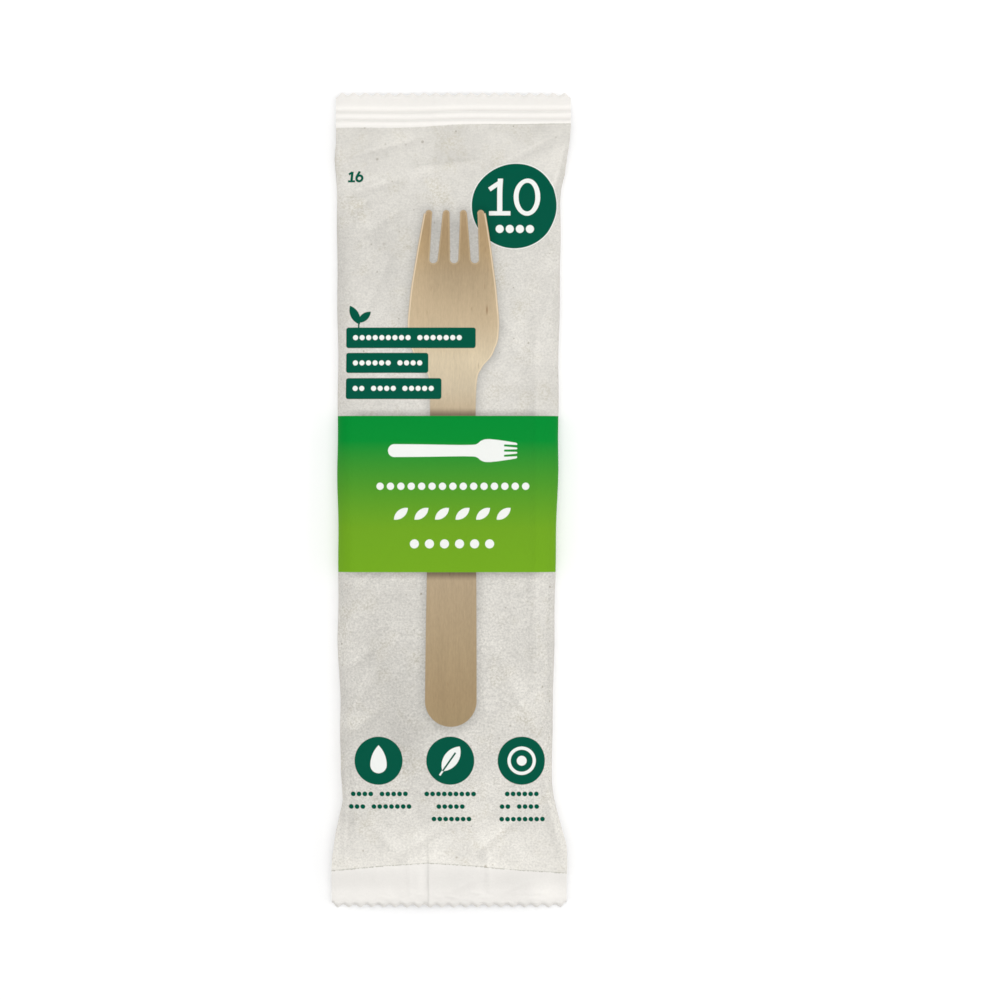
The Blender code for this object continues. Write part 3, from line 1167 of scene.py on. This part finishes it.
def paper_material(name, on_fin):
    material, w, shader = new_material(name)
    u, v, upper = w.parts("XYZ", w.attribute("web", "Vector"))
    front = w.between(upper, 0.45, 0.55)
    worn = w.attribute("worn")
    paper = w.place("paper", w.read("ShaderNodeTexCoord", "Object"))

    ground = w.over(tone(paper_colour), tone(stain_colour), paper["Stains"] * 0.30)
    ground = w.over(ground, tone(speck_colour), paper["Specks"] * 0.85)
    # Random mottle, times painted light and shade at the listed soft places
    ground = w.shaded(ground, paper["Lightness"] * spotted_light(w, u, v, paper_light_and_tone_spots))
    colour, inked = printed_band(w, ground, u, v, 0.0)
    if not on_fin:
        printed, inked = front_print(w, ground, u, v, front)
        colour = w.over(colour, printed, front)
        inked = inked * front
    # Crease wear with painted highlight along and above each crease and painted shade below it,
    # weaker on ink
    crease_shading_strength = inked * (crease_shading_on_ink - crease_shading_on_paper) + crease_shading_on_paper
    colour = w.shaded(colour, worn * crease_shading_strength + 1.0)

    # The bare paper of the seals, the painted shade line at the print's ragged end, the painted
    # shade along the seam's step, and the painted shade in the crimp valleys with painted highlight
    # on the ribs
    at_bottom = w.between(v, 40.0, -40.0)
    ragged = w.attribute("beyond_print") + (paper["Grain"] - 0.5) * (at_bottom * 0.35 + 0.10)
    is_bare = w.between(ragged, -0.10, 0.10)
    bare_light = (paper["Lightness"] - 1.0) * 0.14 + 1.0
    # Bare seal paper with a little mottle, times painted light and shade at the listed places
    bare = w.shaded(tone(plain_colour), bare_light * spotted_light(w, u, v, seal_light_and_shade_spots))
    colour = w.over(colour, bare, is_bare)
    # A painted shade line along the seals' inner edges at the print's end: dotted at the bottom,
    # and a painted shadow under the fold at the top right
    print_end_shade = w.inside(abs(ragged + 0.14) - 0.06, 0.16)
    dotted = w.between(paper["Grain"], 0.62, 0.42) * 0.5 + 0.4
    at_top_right = (1.0 - at_bottom) * w.between(u, 1.0, 12.0)
    dark_end = dotted * at_bottom + at_top_right * 0.5
    colour = w.over(colour, tone(print_end_shade_colour), print_end_shade * dark_end)
    # Painted shade along the step where the paper rides over the fin's free edge
    seam = w.inside(abs(u - fin_free_edge) - 0.07, 0.12) * front * w.between(v, -81.5, -84.5)
    # Painted shade in the crimp valleys and painted highlight on the ribs, with the seam's painted
    # shade
    colour = w.shaded(colour, 1.0 - (seam * 0.14 + w.attribute("pressed") * 0.09))
    w.feed(shader["Base Color"], colour)

    w.feed(shader["Roughness"], paper["Sheen"] + 0.50 - inked * 0.10 + worn * 0.08)
    shader["Specular IOR Level"].default_value = 0.03
    height = paper["Height"]
    if on_fin:
        height = height + w.math("SINE", v * (2 * math.pi / fin_rib_pitch)) * 1.6
    values = {"Height": height, "Strength": is_bare * -0.20 + 0.35, "Distance": 0.00009}
    w.feed(shader["Normal"], w.read("ShaderNodeBump", 0, values))
    return material


# The stage

def directly_seen(w):
    """1 for what the camera sees itself, mirrored or through glass, and 0 for light on the pack."""
    path = w.add("ShaderNodeLightPath").outputs
    names = ("Is Camera Ray", "Is Glossy Ray", "Is Transmission Ray")
    return w.most(*[Value(w, path[name]) for name in names])


def make_floor():
    bpy.ops.mesh.primitive_plane_add(size=4.0, location=(0, 0, 0))
    floor = bpy.context.object
    floor.name = "floor"
    material, w, shader = new_material("floor_white")
    shader["Base Color"].default_value = (0.88, 0.88, 0.88, 1.0)
    shader["Roughness"].default_value = 0.9
    shader["Specular IOR Level"].default_value = 0.1
    shader["Emission Color"].default_value = (1.0, 1.0, 1.0, 1.0)
    w.feed(shader["Emission Strength"], directly_seen(w) * floor_glow)
    floor.data.materials.append(material)


def make_world():
    world = bpy.data.worlds.new("studio")
    bpy.context.scene.world = world
    world.use_nodes = True
    w = Wiring(world.node_tree)
    background = world.node_tree.nodes["Background"]
    background.inputs["Color"].default_value = (1.0, 1.0, 1.0, 1.0)
    strength = directly_seen(w) * (1.0 - world_light) + world_light
    w.feed(background.inputs["Strength"], strength)


def put_in_scene(data):
    """A lamp or a camera as an object of the scene."""
    holder = bpy.data.objects.new(data.name, data)
    bpy.context.collection.objects.link(holder)
    return holder


def soft_box(name, place, size, power):
    """A square lamp that looks at the pack."""
    lamp = bpy.data.lights.new(name, "AREA")
    lamp.shape = "SQUARE"
    lamp.size = size
    lamp.energy = power
    holder = put_in_scene(lamp)
    holder.location = place
    away = np.array(place) / np.linalg.norm(place)
    level = math.acos(away[2])
    holder.rotation_euler = (level, 0.0, math.atan2(away[1], away[0]) + math.pi / 2)


def make_camera():
    """Straight above the pack, with the pack left of the middle as it is in the picture."""
    picture_pixels = 1000
    pack_middle_pixel = 450.5
    millimetres_a_pixel = 0.2336
    camera = bpy.data.cameras.new("camera")
    camera.lens = 120.0
    camera.sensor_width = 36.0
    camera.clip_end = 20.0
    holder = put_in_scene(camera)
    view_width = picture_pixels * millimetres_a_pixel * MM
    mid_height = height_near_bottom / 2 * MM
    side = (picture_pixels / 2 - pack_middle_pixel) * millimetres_a_pixel * MM
    distance = view_width * camera.lens / camera.sensor_width
    holder.location = (side, 0.0, mid_height + distance)
    bpy.context.scene.camera = holder


def main():
    clear_selection()
    wrapper = make_wrapper()
    wrapper.data.materials.append(paper_material("printed_wrapper", False))
    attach(wrapper, "root")
    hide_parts("sealed_pack")
    fin = make_fin()
    fin.data.materials.append(paper_material("fin_print", True))
    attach(fin, "root")

    make_floor()
    make_world()
    for lamp in lamps:
        soft_box(*lamp)
    make_camera()
    bpy.context.scene.view_settings.view_transform = "Standard"


main()
